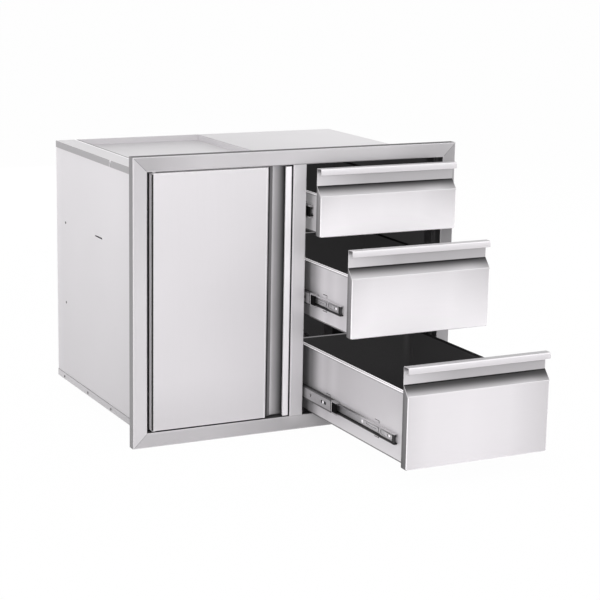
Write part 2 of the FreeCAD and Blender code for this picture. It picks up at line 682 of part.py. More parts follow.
def drawer_wrap(floor, rim, slide_height):
    """Floor and sides in one sheet, with a folded rim, tabs at the front and hook cuts by the slides."""
    left, right = drawer_left, drawer_right
    path = [(left + RIM_WIDTH, rim - RIM_LIP), (left + RIM_WIDTH, rim), (left, rim), (left, floor),
            (right, floor), (right, rim), (right - RIM_WIDTH, rim), (right - RIM_WIDTH, rim - RIM_LIP)]
    rim_bends = [DRAWER_BEND, DRAWER_BEND]
    wrap = folded_sheet(path, DRAWER_SHEET, rim_bends + [0, 0] + rim_bends, "XZ", front_back, drawer_length)
    tab_low = floor + DRAWER_SHEET / 2
    tab_high = rim - RIM_LIP - DRAWER_SHEET
    tab = block((left + DRAWER_SHEET / 2, left + DRAWER_SHEET + SIDE_TAB_FLANGE),
                (front_back, front_back + DRAWER_SHEET), (tab_low, tab_high))
    cuts = []
    for place in (HOOK_PLACE, HOOK_PLACE + HOOK_SPACING):
        for side in (-1, 1):
            far = slide_height + side * (inner_half + HOOK_CLEAR + HOOK_HEIGHT)
            near = far - side * HOOK_HEIGHT
            front = front_back + place - HOOK_LENGTH / 2
            across = (left - DRAWER_SHEET, right + DRAWER_SHEET)
            cuts.append(block(across, (front, front + HOOK_LENGTH), (far - side * HOOK_SLIT, far)))
            cuts.append(block(across, (front, front + HOOK_MOUTH), (near, far)))
    return drilled(joined([wrap, tab, mirrored(tab, drawer_middle)]), cuts)


def drawer_back(floor, rim):
    """The rear wall between the sides, with a rim like theirs between their lips."""
    left = drawer_left + DRAWER_SHEET
    right = drawer_right - DRAWER_SHEET
    rear = front_back + drawer_length
    low = floor + DRAWER_SHEET
    across = [(right, rear - SIDE_TAB_FLANGE), (right, rear), (left, rear), (left, rear - SIDE_TAB_FLANGE)]
    wall = folded_sheet(across, DRAWER_SHEET, None, "XY", low, rim - RIM_LIP - BACK_PLATE_CLEAR - low)
    rim_left = drawer_left + RIM_WIDTH + BACK_PLATE_CLEAR
    rim_right = drawer_right - RIM_WIDTH - BACK_PLATE_CLEAR
    upward = [(rear, rim - 2 * RIM_LIP), (rear, rim), (rear - RIM_WIDTH, rim), (rear - RIM_WIDTH, rim - RIM_LIP)]
    top = folded_sheet(upward, DRAWER_SHEET, [DRAWER_BEND, None], "YZ", rim_left, rim_right - rim_left)
    return joined([wall, top])


def drawer_nodes(name, front_high, height, opening, mid_start):
    """All pieces of one drawer and of its slides' middle members, at the rest opening."""
    floor = front_high - height + DRAWER_FLOOR_RISE
    rim = front_high - HANDLE_HEIGHT - DRAWER_RIM_DROP
    slide_height = floor + SLIDE_ABOVE_FLOOR
    inner = on_slide(inner_member(), slide_height)
    with_drawer = {
        "front": on_drawer(folded_front(height, front_width), front_high),
        "front_plate": on_drawer(front_plate(height, front_width), front_high),
        "box_wrap": drawer_wrap(floor, rim, slide_height),
        "box_back": drawer_back(floor, rim),
        "slide_inner_left": inner,
        "slide_inner_right": mirrored(inner, drawer_middle),
    }
    mid = on_slide(mid_member(mid_start), slide_height)
    cage = on_slide(cages(mid_start), slide_height)
    stop = on_slide(bumper(mid_start), slide_height)
    with_mid = {
        "slide_mid_left": mid,
        "slide_mid_right": mirrored(mid, drawer_middle),
        "ball_cages": group([cage, mirrored(cage, drawer_middle)]),
        "slide_bumpers": group([stop, mirrored(stop, drawer_middle)]),
    }
    nodes = {}
    for key, shape in with_drawer.items():
        nodes[name + "_" + key] = moved(shape, y=-opening)
    for key, shape in with_mid.items():
        nodes[name + "_" + key] = moved(shape, y=-opening * MID_SHARE)
    return nodes, on_slide(outer_member(), slide_height)


def all_nodes():
    """Every node of the unit by name."""
    nodes = {
        "trim_left": trim_side(-1),
        "trim_right": trim_side(1),
        "trim_bottom": trim_rail(-1),
        "trim_top": trim_rail(1),
        "centre_stile": centre_stile(),
        "side_panel_left": side_panel(-1),
        "side_panel_right": side_panel(1),
        "bottom_panel": bottom_panel(),
        "lid_drawer_side": drawer_side_lid(),
        "lid_door_side": door_side_lid(),
        "rear_panel": rear_panel(),
        "divider_panel": divider(),
        "door_skin": door_skin(),
        "door_plate": door_plate(),
        "door_pivot_pins": pivot_pins(),
        "magnetic_catch": magnetic_catch(),
        "door_strike_plate": strike_plate(),
    }
    left_depth = slide_left - divider_right
    right_depth = side_inner_right - slide_right
    for place, name in ((UPRIGHT_FRONT, "front"), (upright_rear, "rear")):
        nodes["upright_left_" + name] = upright(left_depth, place)
        nodes["upright_right_" + name] = mirrored(upright(right_depth, place), drawer_middle)
    middle_high = door_high - TOP_FRONT_HEIGHT - FRONT_GAP
    bottom_high = middle_high - MIDDLE_FRONT_HEIGHT - FRONT_GAP
    drawers = (("drawer1", door_high, TOP_FRONT_HEIGHT, OPEN_TOP, MID_START_TOP),
               ("drawer2", middle_high, MIDDLE_FRONT_HEIGHT, OPEN_MIDDLE, MID_START),
               ("drawer3", bottom_high, bottom_front_height, OPEN_BOTTOM, MID_START))
    outer_left = []
    for name, front_high, height, opening, mid_start in drawers:
        pieces, outer = drawer_nodes(name, front_high, height, opening, mid_start)
        nodes.update(pieces)
        outer_left.append(outer)
    nodes["slide_outer_left"] = group(outer_left)
    nodes["slide_outer_right"] = group([mirrored(outer, drawer_middle) for outer in outer_left])
    return nodes


def write(name, shape):
    """One STEP file, with Y = 0 moved to the middle of the box."""
    if not shape.isValid() or shape.Volume <= 0:
        raise ValueError(name + " is not a valid solid")
    moved(shape, y=-BOX_DEPTH / 2).exportStep("parts/" + name + ".step")
    print(name, len(shape.Solids), round(shape.Volume, 1))


os.makedirs("parts", exist_ok=True)
for node_name, node_shape in all_nodes().items():
    write(node_name, node_shape)
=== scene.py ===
import bpy
import bmesh
import math
from mathutils import Matrix, Vector


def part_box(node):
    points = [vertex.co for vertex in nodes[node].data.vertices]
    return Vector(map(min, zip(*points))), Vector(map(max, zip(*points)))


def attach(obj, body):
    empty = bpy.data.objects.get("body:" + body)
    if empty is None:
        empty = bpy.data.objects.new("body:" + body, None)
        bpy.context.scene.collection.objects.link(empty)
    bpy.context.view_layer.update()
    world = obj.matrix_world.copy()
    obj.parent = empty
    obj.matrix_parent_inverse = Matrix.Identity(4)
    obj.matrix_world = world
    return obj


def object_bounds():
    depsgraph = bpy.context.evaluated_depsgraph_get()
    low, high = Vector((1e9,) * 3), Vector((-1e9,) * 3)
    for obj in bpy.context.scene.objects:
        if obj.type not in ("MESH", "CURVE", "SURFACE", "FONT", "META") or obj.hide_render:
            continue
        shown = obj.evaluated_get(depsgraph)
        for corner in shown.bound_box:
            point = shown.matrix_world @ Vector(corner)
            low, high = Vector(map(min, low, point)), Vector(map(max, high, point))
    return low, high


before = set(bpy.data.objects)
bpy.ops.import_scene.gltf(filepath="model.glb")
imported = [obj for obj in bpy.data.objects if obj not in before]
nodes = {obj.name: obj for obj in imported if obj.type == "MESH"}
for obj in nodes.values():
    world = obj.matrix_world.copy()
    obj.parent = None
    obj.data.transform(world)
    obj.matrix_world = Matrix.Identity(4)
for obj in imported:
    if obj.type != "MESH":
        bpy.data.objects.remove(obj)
cad_low, cad_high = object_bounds()

MM = 0.001
DRAWERS = ("drawer1", "drawer2", "drawer3")
SIDES = ("left", "right")

# Folded fronts, measured from the lip's edge and from the front plane
LIP_HEIGHT = 13.5 * MM
WALL_HEIGHT = 37.0 * MM
HANDLE_HEIGHT = 57.6 * MM
FRONT_DEPTH = 19.0 * MM
FOLD = 3.3 * MM

# Cells of the brushed grain per metre along X, Y and Z
ALONG_X = (9, 500, 500)
ALONG_Y = (500, 9, 500)
ALONG_Z = (500, 500, 9)

# How far the fine and the broad grain of steel change its level, and how deep any grain is
STREAKS = 0.03
CLOUDS = 0.04
GRAIN_DEPTH = 0.2 * MM
NOISE_MEAN = 0.5

# Limits on a polygon's normal: turned to a side, square to it, and its Y on a flat front or on a return
FACING = 0.5
SQUARE = 0.9
FLAT_FRONT = -0.97
RETURN = -0.3

# Frames for a spot: the object's own, and the room's, in which a piece moves
OWN = ("ShaderNodeTexCoord", "Object")
ROOM = ("ShaderNodeNewGeometry", "Position")

BLACK = (0, 0, 0)
WHITE = (1, 1, 1, 1)


# Arithmetic on shader sockets

class Value:
    """A socket's value that takes part in plain arithmetic by adding Math nodes."""

    def __init__(self, finish, socket):
        self.finish = finish
        self.socket = socket

    def math(self, operation, first, second=None, clamp=False):
        settings = {"operation": operation, "use_clamp": clamp}
        inputs = {0: first} if second is None else {0: first, 1: second}
        return self.finish.node("ShaderNodeMath", settings, inputs)["Value"]

    def __add__(self, other):
        return self.math("ADD", self, other)

    def __sub__(self, other):
        return self.math("SUBTRACT", self, other)

    def __rsub__(self, other):
        return self.math("SUBTRACT", other, self)

    def __mul__(self, other):
        return self.math("MULTIPLY", self, other)

    def __pow__(self, other):
        return self.math("POWER", self, other)

    def __abs__(self):
        return self.math("ABSOLUTE", self)

    def __lt__(self, other):
        return self.math("LESS_THAN", self, other)

    def __gt__(self, other):
        return self.math("GREATER_THAN", self, other)

    __radd__ = __add__
    __rmul__ = __mul__

    def least(self, other):
        return self.math("MINIMUM", self, other)

    def most(self, other):
        return self.math("MAXIMUM", self, other)

    def within(self, low, high):
        """1 from low to high, else 0."""
        return (self > low) * (self < high)

    def near(self, middle, half):
        """1 within half a width of the middle, else 0."""
        return abs(self - middle) < half

    def ramp(self, low, high):
        """0 at low, 1 at high, straight between them and held beyond them."""
        return self.math("MULTIPLY", self - low, 1 / (high - low), clamp=True)

    def smooth(self, low, high):
        """A ramp that is level at both its ends."""
        part = self.ramp(low, high)
        return part * part * (3 - part * 2)

    def blend(self, low, high, first, last):
        """Runs from first at low to last at high."""
        return first + self.ramp(low, high) * (last - first)

    def band(self, middle, half):
        """1 at the middle, falling to 0 half a width away."""
        return 1 - abs(self - middle).ramp(0, half)


class Finish:
    """A material or world under construction."""

    def __init__(self, owner):
        owner.use_nodes = True
        self.owner = owner
        self.tree = owner.node_tree
        self.tree.nodes.clear()

    def node(self, kind, settings=None, inputs=None):
        """Adds a node and returns its outputs by name."""
        made = self.tree.nodes.new(kind)
        for key, setting in (settings or {}).items():
            setattr(made, key, setting)
        for key, value in (inputs or {}).items():
            if isinstance(value, Value):
                self.tree.links.new(value.socket, made.inputs[key])
            else:
                made.inputs[key].default_value = value
        return {socket.name: Value(self, socket) for socket in made.outputs if socket.enabled}

    def place(self, frame_of_spot=OWN):
        """The shaded spot, and its X, Y and Z in metres."""
        kind, output = frame_of_spot
        spot = self.node(kind)[output]
        parts = self.node("ShaderNodeSeparateXYZ", inputs={0: spot})
        return spot, parts["X"], parts["Y"], parts["Z"]

    def room_y(self):
        """Y in the room, which stays while a piece moves through it."""
        return self.place(ROOM)[2]

    def stretched(self, spot, cells):
        return self.node("ShaderNodeVectorMath", {"operation": "MULTIPLY"}, {0: spot, 1: cells})["Vector"]

    def noise(self, vector, scale, detail=2.0, roughness=0.5):
        inputs = {"Vector": vector, "Scale": scale, "Detail": detail, "Roughness": roughness}
        return self.node("ShaderNodeTexNoise", inputs=inputs)["Fac"]

    def between(self, factor, dark, light):
        """A colour between two, by a factor."""
        inputs = {0: factor, 6: (*dark, 1), 7: (*light, 1)}
        return self.node("ShaderNodeMix", {"data_type": "RGBA"}, inputs)["Result"]

    def tint(self, tone, place, variation):
        """The grey of a tone times a variation. A tone is a level, or gives one from X, Y and Z."""
        level = tone(*place) if callable(tone) else tone
        return self.between(variation * level, BLACK, grey(1.0))

    def bump(self, height, strength):
        inputs = {"Height": height, "Strength": strength, "Distance": GRAIN_DEPTH}
        return self.node("ShaderNodeBump", inputs=inputs)["Normal"]

    def surface(self, inputs):
        shader = self.node("ShaderNodeBsdfPrincipled", inputs=inputs)["BSDF"]
        self.node("ShaderNodeOutputMaterial", inputs={"Surface": shader})
        return self.owner


def grey(level):
    """Steel's slightly warm grey."""
    return (level, level * 0.975, level)


def steel(name, grain, tone, roughness=0.32, metallic=0.25, glow=0.0, standing=False):
    """Satin steel. Its tones, often painted light and shade, lie on the piece or, when standing, stay in the
    room; glow adds painted light.
    """
    finish = Finish(bpy.data.materials.new(name))
    spot, *place = finish.place()
    fine = finish.noise(finish.stretched(spot, grain), scale=1.0, detail=3.0, roughness=0.6)
    broad = finish.noise(spot, scale=6.0, detail=1.0)
    if standing:
        place = finish.place(ROOM)[1:]
    variation = 1 + (fine - NOISE_MEAN) * STREAKS + (broad - NOISE_MEAN) * CLOUDS
    colour = finish.tint(tone, place, variation)
    return finish.surface({
        "Base Color": colour, "Metallic": metallic, "Roughness": roughness + (fine - NOISE_MEAN) * 0.08,
        "Normal": finish.bump(fine, 0.05), "Emission Color": colour, "Emission Strength": glow})


def plastic_or_shade(name, tone, roughness=0.6, sheen=0.5, scale=900.0, glow=0.0):
    """Moulded plastic with a fine grain, also near-black painted shade on steel and zinc. Glow adds painted
    light.
    """
    finish = Finish(bpy.data.materials.new(name))
    spot, *place = finish.place()
    grain = finish.noise(spot, scale)
    colour = finish.tint(tone, place, 0.8 + grain * 0.4)
    return finish.surface({
        "Base Color": colour, "Roughness": roughness + (grain - NOISE_MEAN) * 0.2,
        "Specular IOR Level": sheen, "Normal": finish.bump(grain, 0.1),
        "Emission Color": colour, "Emission Strength": glow})


def painted_inside_shade(name, tone):
    """Painted shade inside the cabinet and the drawers: near-black with a coarser grain and a weak painted
    glow.
    """
    return plastic_or_shade(name, tone, sheen=0.2, scale=400.0, glow=0.5)


def zinc(name, tone, roughness=0.35):
    """Zinc-plated steel with a faint spangle and drawing lines along the member."""
    finish = Finish(bpy.data.materials.new(name))
    spot, *place = finish.place()
    lines = finish.noise(finish.stretched(spot, ALONG_Y), scale=1.0)
    spangle = finish.node("ShaderNodeTexVoronoi", inputs={"Vector": spot, "Scale": 260.0})["Color"]
    patch = finish.node("ShaderNodeSeparateColor", inputs={0: spangle})["Red"]
    colour = finish.tint(tone, place, 0.9 + lines * 0.1 + patch * 0.1)
    return finish.surface({
        "Base Color": colour, "Metallic": 0.4, "Roughness": roughness + (lines - NOISE_MEAN) * 0.1,
        "Normal": finish.bump(lines, 0.05)})


# Painting the pieces. The tests for polygons take their centre c and normal n.

def paint(name, material, *others):
    """Gives a node its material. Each of the others is a material and the test for its polygons."""
    data = nodes[name].data
    data.materials.clear()
    data.materials.append(material)
    for other, test in others:
        data.materials.append(other)
    for polygon in data.polygons:
        polygon.material_index = 0
        for index, (other, test) in enumerate(others):
            if test(polygon.center, polygon.normal):
                polygon.material_index = index + 1
                break


# Painted highlights on the folds of the fronts and of the trim
fold_highlight = steel("painted_highlight_on_folds", ALONG_X, 0.92, 0.22)
trim_highlight = steel("painted_highlight_on_trim_folds", ALONG_Z, 0.62, 0.22)
# Painted shade on the trim's returns: grey outside, near-black on top and inside
return_shade_grey = steel("shaded_outer_return", ALONG_Z, 0.20, 0.35)
return_top = plastic_or_shade("shaded_top_return", 0.10, sheen=0.15)
return_shade_dark = plastic_or_shade("shaded_inner_return", 0.06, sheen=0.15)
trim_rear = steel("trim_rear_steel", ALONG_Z, 0.50, 0.4)
# Painted shade inside the cabinet, on the drawers' right rims and on the ball cages
cabinet_inside_shade = painted_inside_shade("painted_shade_cabinet_inside", 0.042)
shaded_rim = plastic_or_shade("shaded_rim", 0.03, roughness=0.9, sheen=0.0)
cage_dark = plastic_or_shade("shaded_ball_cage", 0.03, sheen=0.2)
zinc_plate = zinc("zinc_plated_steel", 0.45)
# Painted shade on the uprights, outer members and races, and a painted highlight on the middle members' front
# ends
zinc_shaded = zinc("shaded_zinc_steel", 0.12)
zinc_dark = plastic_or_shade("shaded_slide_race", 0.04, roughness=0.5, sheen=0.2)
lit_zinc_face = zinc("painted_zinc_highlight", 0.75)
black_plastic = plastic_or_shade("black_bumper_plastic", 0.008, sheen=0.0)
stop_plastic = plastic_or_shade("dark_stop_plastic", 0.035, roughness=0.5, sheen=0.3)


# Trim

TRIM_FACE = 31.0 * MM
TRIM_FOLD_END = -0.45
TRIM_EDGE = 2 * MM
SEAM_HALF = 0.5 * MM
trim_low, trim_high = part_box("trim_left")[0].z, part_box("trim_left")[1].z
trim_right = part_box("trim_right")[1].x


def seam(x, z):
    """A fine dark line along the mitres."""
    across = trim_right - abs(x)
    along = (z - trim_low).least(trim_high - z)
    return 1 - 0.7 * (across.near(along, SEAM_HALF) * (across < TRIM_FACE + 0.2 * MM))


def trim_fold(c, n):
    return FLAT_FRONT < n.y < TRIM_FOLD_END


def top_return(c, n):
    return n.y > TRIM_FOLD_END and n.z > FACING and c.z > trim_high - TRIM_EDGE


def outer_return(c, n):
    outside = n.x * c.x > FACING * abs(c.x) and abs(c.x) > trim_right - TRIM_EDGE
    underneath = n.z < -FACING and c.z < trim_low + TRIM_EDGE
    return n.y > RETURN and (outside or underneath)


def any_return(c, n):
    return n.y > RETURN


def side_bar_tones(x, y, z):
    """Painted light and shade: the left bar darkens upwards, the right one has a dark stretch above its
    middle.
    """
    left_bar = z.blend(0.30, 0.56, 0.62, 0.54)
    right_bar = 0.42 - z.band(0.40, 0.12) * 0.22 - z.ramp(0.45, 0.56) * 0.05
    return (left_bar + (x > 0) * (right_bar - left_bar)) * seam(x, z)


# Painted light and shade along the top rail: lighter towards the middle, darker at its right end
def top_rail_tones(x, y, z):
    from_left = x.blend(-0.34, -0.22, 0.42, 0.56) + x.ramp(-0.10, 0.10) * 0.07
    to_right = x.ramp(0.20, 0.34) * 0.16
    return (from_left - to_right) * seam(x, z)


# Painted light and shade along the bottom rail, with painted light under the stile
def low_rail_tones(x, y, z):
    along = x.blend(-0.2, 0.0, 0.49, 0.38) + x.ramp(0.0, 0.12) * 0.13
    under_stile = x.band(-0.002, 0.035) * z.ramp(-0.018, 0.006) * 0.12
    return (along + under_stile) * seam(x, z)


# Painted shade at the stile's foot, lighter upwards
def stile_tones(x, y, z):
    return z.blend(0.0, 0.08, 0.52, 0.63) + z.ramp(0.1, 0.45) * 0.04


side_bar_steel = steel("trim_bar_steel", ALONG_Z, side_bar_tones)
rail_top_steel = steel("trim_top_rail_steel", ALONG_X, top_rail_tones)
rail_low_steel = steel("trim_bottom_rail_steel", ALONG_X, low_rail_tones)
stile_steel = steel("centre_stile_steel", ALONG_Z, stile_tones)
# Painted highlights on the trim's folds and painted shade on its returns; its rear is plain steel
for name, material in (("trim_left", side_bar_steel), ("trim_right", side_bar_steel),
                       ("trim_top", rail_top_steel), ("trim_bottom", rail_low_steel),
                       ("centre_stile", stile_steel)):
    paint(name, material, (return_top, top_return), (trim_highlight, trim_fold), (return_shade_grey, outer_return),
          (trim_rear, lambda c, n: n.y > FACING), (return_shade_dark, any_return))


# Box

# The tops of the tray's lips lie above this height and look like a dark seam
LIP_TOPS = 8 * MM

# Along X: the border of the lid's pan, a dark line and a painted highlight on it with half their widths, and
# the lid's lip
PAN_BORDER = -0.298
PAN_LINE = (-0.2985, 0.0021)
PAN_SHINE = (-0.3030, 0.0024)
LID_LIP = -0.34

# Along Y: the notch in that lip, where a highlight is painted, and half its width
LID_NOTCH = (-0.085, 0.006)


def side_tones(x, y, z):
    """Painted light and shade: lighter upwards and at the rear edge, darker in the lower front corner."""
    level = z.blend(0.0, 0.5, 0.565, 0.70) + y.ramp(0.22, 0.26) * 0.04
    front_corner = y.ramp(0.0, -0.26) * z.ramp(0.3, 0.0)
    return level - front_corner * 0.04


# Painted light on the tray's lips, lighter towards the rear
def tray_tones(x, y, z):
    return y.blend(-0.26, 0.26, 0.43, 0.55)


# Painted light on the lid, lighter towards the right
def lid_tones(x, y, z):
    return x.blend(0.0, 0.3, 0.60, 0.70)


def pan_tones(x, y, z):
    """The sunk floor with painted shade towards the rear, and the border beside it, with a fine dark line and
    a painted highlight along the border.
    """
    floor = y.blend(-0.20, 0.26, 0.74, 0.52)
    border = x < PAN_BORDER
    line = x.near(*PAN_LINE)
    shine = x.near(*PAN_SHINE)
    return (floor * (1 - border) + border * 0.62 + shine * 0.25) * (1 - 0.9 * line)


def lid_lip_tones(x, y, z):
    """Painted shade on the lid's lip, lighter at the front end, with a painted highlight at the notch."""
    front_end = y.ramp(-0.23, -0.26)
    notch = y.band(*LID_NOTCH) * z.ramp(0.540, 0.545)
    return 0.36 + front_end * 0.2 + notch * 0.5


box_steel = steel("box_side_steel", ALONG_Z, side_tones, 0.4)
tray_steel = steel("tray_lip_steel", ALONG_Y, tray_tones, 0.4)
lip_steel = steel("lid_lip_steel", ALONG_Y, lid_lip_tones, 0.4)
lid_steel = steel("lid_steel", ALONG_X, lid_tones, 0.35)
pan_steel = steel("lid_pan_steel", ALONG_X, pan_tones, 0.35)
pan_rear_steel = steel("pan_rear_wall_steel", ALONG_X, 0.72, 0.35)
pan_wall_steel = steel("pan_side_wall_steel", ALONG_Y, 0.72, 0.35)
line_dark = plastic_or_shade("dark_seam", 0.10, roughness=0.5)
paint("side_panel_left", box_steel)
# Painted shade on the faces inside the cabinet
paint("side_panel_right", box_steel, (cabinet_inside_shade, lambda c, n: n.x < -FACING))
paint("rear_panel", box_steel, (cabinet_inside_shade, lambda c, n: n.y < -FACING and c.x > 0))
paint("divider_panel", box_steel, (cabinet_inside_shade, lambda c, n: n.x > FACING))
paint("bottom_panel", tray_steel, (line_dark, lambda c, n: n.z > FACING and c.z > LIP_TOPS))
paint("lid_drawer_side", lid_steel, (cabinet_inside_shade, lambda c, n: n.z < -FACING),
      (lip_steel, lambda c, n: n.x > FACING))
paint("lid_door_side", pan_steel, (lip_steel, lambda c, n: n.x < -FACING and c.x < LID_LIP),
      (pan_rear_steel, lambda c, n: abs(n.y) > FACING), (pan_wall_steel, lambda c, n: abs(n.x) > FACING))
for name in nodes:
    if name.startswith("upright"):
        paint(name, zinc_shaded)
paint("door_strike_plate", zinc_plate)
paint("door_pivot_pins", zinc_plate)


# Folded fronts

FRONT_FOLD_END = -0.7
TOP_RETURN = 1.4 * MM
LIP_DEPTH = 6 * MM
MARGIN = 3 * MM

# Levels of a drawer's face from its top to its foot: in the open, and with painted light making up for the
# shade where the drawer below shades it, which it does this far to both sides of the face's place in the
# photograph
FACE_ENDS = (0.69, 0.71)
PAINTED_LIGHT_FACE_ENDS = (0.66, 1.0)
SHADE_REACH = 55 * MM


def front_zones(reach, depth, face_start):
    """Which part of a folded front a spot is on: top return, lip, wall behind it, slope or face."""
    top = (reach < TOP_RETURN) * (depth > 2 * MM)
    lip = (depth < LIP_DEPTH) * (reach < LIP_HEIGHT + MARGIN) * (1 - top)
    wall = (depth > FRONT_DEPTH - MARGIN) * (reach < WALL_HEIGHT) * (1 - top)
    face = reach > face_start
    slope = (1 - lip) * (1 - wall) * (1 - face) * (1 - top)
    return top, lip, wall, slope, face


def joined(zones, levels):
    """One level from the level in each zone."""
    return sum(zone * level for zone, level in zip(zones, levels))


def door_tones(low, high):
    """Painted light and shade over the door, from the edge with its handle."""
    def tones(x, y, z):
        reach = high.x - x
        # Painted light on the lip, lighter upwards; painted shade deepening into the handle's wall and beside
        # the face
        lip = z.blend(low.z, high.z, 0.80, 0.92)
        wall = reach.blend(10 * MM, 36 * MM, 0.06, 0.46) + reach.ramp(30 * MM, 37 * MM) * 0.10
        beside_face = reach > HANDLE_HEIGHT - 10 * MM
        slope = reach.blend(WALL_HEIGHT, HANDLE_HEIGHT, 0.24, 0.18) * (1 - beside_face) + beside_face * 0.008
        # A painted highlight on the face's edge, painted shade at its foot and a painted shadow line along the
        # hinge edge
        bright_edge = (reach < HANDLE_HEIGHT + 1 * MM) * 0.25
        dark_foot = z.ramp(low.z + 0.10, low.z + 0.02) * 0.05
        hinge_edge = x < low.x + 4 * MM
        face = (z.blend(low.z, high.z, 0.64, 0.69) + bright_edge - dark_foot) * (1 - hinge_edge * 0.985)
        # Near-black painted shade on the top return
        zones = front_zones(reach, y - low.y, HANDLE_HEIGHT - 4 * MM)
        return joined(zones, (0.10, lip, wall, slope, face))
    return tones


def drawer_tones(low, high, dip, face_ends):
    """Painted light and shade over a drawer's front, from its handle down. Face_ends hold at its place in the
    photograph.
    """
    span = high.z - low.z
    width = high.x - low.x
    extra_ends = [shaded - plain for shaded, plain in zip(face_ends, FACE_ENDS)]

    def tones(x, y, z):
        reach = high.z - z
        along = (x - low.x) * (1 / width)
        # Painted highlight at the lip's top, fading downwards
        lip = reach.blend(2 * MM, LIP_HEIGHT, 0.71, 0.59)
        # Painted shade behind the lip and painted light on the wall's left end
        under_lip = 1 - reach.ramp(12 * MM, 6 * MM) * 0.9
        wall = reach.blend(LIP_HEIGHT, WALL_HEIGHT, 0.395, 0.45) * under_lip + along.ramp(0.35, 0.0) * 0.16
        # Painted highlight rising along the slope to a brightest band, painted shade in its crease and at its
        # right end
        brightest = 0.48 + along.band(0.82, 0.14) * 0.06
        rise = reach.smooth(WALL_HEIGHT + 1 * MM, HANDLE_HEIGHT) ** dip * brightest
        crease = 0.045 - (reach < WALL_HEIGHT + 2.4 * MM) * 0.035
        slope = (crease + rise) * (1 - along.ramp(0.88, 1.0) * 0.25)
        # Painted light making up for the drawer below's shade near the face's resting place, and a painted
        # sheen across the face, darker towards its ends
        painted_light = reach.blend(HANDLE_HEIGHT, span, *extra_ends) * y.finish.room_y().band(low.y, SHADE_REACH)
        sheen = along.band(0.42, 0.4) * 0.04 - along.ramp(0.72, 1.0) * 0.12 - along.ramp(0.15, 0.0) * 0.07
        face = reach.blend(HANDLE_HEIGHT, span, *FACE_ENDS) + painted_light + sheen
        # The top return gets painted shade
        zones = front_zones(reach, y - low.y, HANDLE_HEIGHT - 1 * MM)
        return joined(zones, (0.38, lip, wall, slope, face))
    return tones


def paint_front(name, sideways, main, returns):
    """Paints a folded front, painted highlights on its folds, the gussets of its handle and its returns."""
    low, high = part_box(name)

    def reach(c):
        return high.x - c.x if sideways else high.z - c.z

    def bright(c, n):
        turned_away = sideways and n.x < -0.1
        return FLAT_FRONT < n.y < FRONT_FOLD_END and c.y < low.y + FOLD and not turned_away

    def gusset(c, n):
        end = n.z if sideways else n.x
        return abs(end) > SQUARE and reach(c) < HANDLE_HEIGHT + 4 * MM

    def side(c, n):
        return n.y > RETURN and c.y < high.y and reach(c) > HANDLE_HEIGHT

    paint(name, main, (fold_highlight, bright), (gusset_steel, gusset), (returns, side))


def front_steel(name, grain, tones, glow=0.0):
    return steel(name + "_steel", grain, tones, metallic=0.1, glow=glow)


def return_steel(name, tones, glow=0.0):
    return steel(name + "_return_steel", ALONG_Z, tones, glow=glow)


def paint_door(name):
    low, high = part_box(name)

    def gap_tones(x, y, z):
        """Painted light on the return in the door's gap, with painted shade at its front edge and its rear."""
        return 0.012 + (y - low.y).within(1 * MM, 13 * MM) * 0.95

    # The gap's return also gets a painted glow
    paint_front(name, True, front_steel(name, ALONG_Z, door_tones(low, high)),
                return_steel(name, gap_tones, glow=0.18))


def paint_drawer_front(name, dip, face_ends, return_ends, glow):
    low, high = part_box(name)

    def return_tones(x, y, z):
        # Painted light and shade on the returns: lighter upwards, darker towards their rear edge
        level = z.blend(low.z, high.z - HANDLE_HEIGHT, *return_ends)
        return level * y.blend(high.y - 9 * MM, high.y, 1.0, 0.55)

    paint_front(name, False, front_steel(name, ALONG_X, drawer_tones(low, high, dip, face_ends), glow),
                return_steel(name, return_tones))


gusset_steel = steel("gusset_steel", ALONG_Y, 0.62)
paint_door("door_skin")
paint("door_plate", box_steel)
# The upper drawers' faces get painted light and a weak painted glow
for drawer in ("drawer1", "drawer2"):
    paint_drawer_front(drawer + "_front", 1.05, PAINTED_LIGHT_FACE_ENDS, return_ends=(0.20, 0.27), glow=0.09)
paint_drawer_front("drawer3_front", 1.9, FACE_ENDS, return_ends=(0.09, 0.20), glow=0.0)


# Drawers and slides

# The rim's width and depth, and the limit on a normal's Z above which a polygon isn't on its underside
RIM_WIDTH = 10.0 * MM
RIM_DEPTH = 2 * MM
UNDERSIDE = -0.3

# From a slide's middle to its races, and the height of the bend at the foot of a sheet
RACE = 6 * MM
BEND = 3.0 * MM

# Where the cabinet's shade on a drawer's side starts and ends, along Y in the room
SHADE_START = -0.292
SHADE_END = -0.324


def slide_place(drawer, side):
    """The corners of a slide's inner member and the height of its middle."""
    low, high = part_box(drawer + "_slide_inner_" + side)
    return low, high, (low.z + high.z) / 2


def drawer_side_tones(low, high, shade, foot, top):
    """Painted light and shade: lighter away from the cabinet, shaded where the side comes out of it, with
    painted light bands and painted shade along the foot bend and under the rim.
    """
    def tones(x, y, z):
        level = y.blend(-0.70, -0.33, 0.68, 0.61) * z.blend(low.z, high.z, foot, top)
        level = level * y.blend(SHADE_START, SHADE_END, shade, 1.0)
        bands = y.band(-0.39, 0.025) + y.band(-0.34, 0.02)
        edges = (z < low.z + BEND) * 0.75 + (z > high.z - 4.0 * MM) * 0.35
        return (level + bands * 0.05) * (1 - edges)
    return tones


def rim_tones(low):
    """A folded rim with a painted white highlight along its inner part and painted light on the bend outside.
    """
    def tones(x, y, z):
        across = x - low.x
        white = across.within(5.0 * MM, RIM_WIDTH - 1.0 * MM)
        return 0.42 + white * 0.58 + (across < 2.0 * MM) * 0.30
    return tones


def rear_inside_tones(x, y, z):
    """Painted shade on the rear wall's inside, with a soft painted upright reflection near the right corner.
    """
    return 0.032 + x.band(0.316, 0.010) * z.ramp(0.07, 0.15) * 0.02


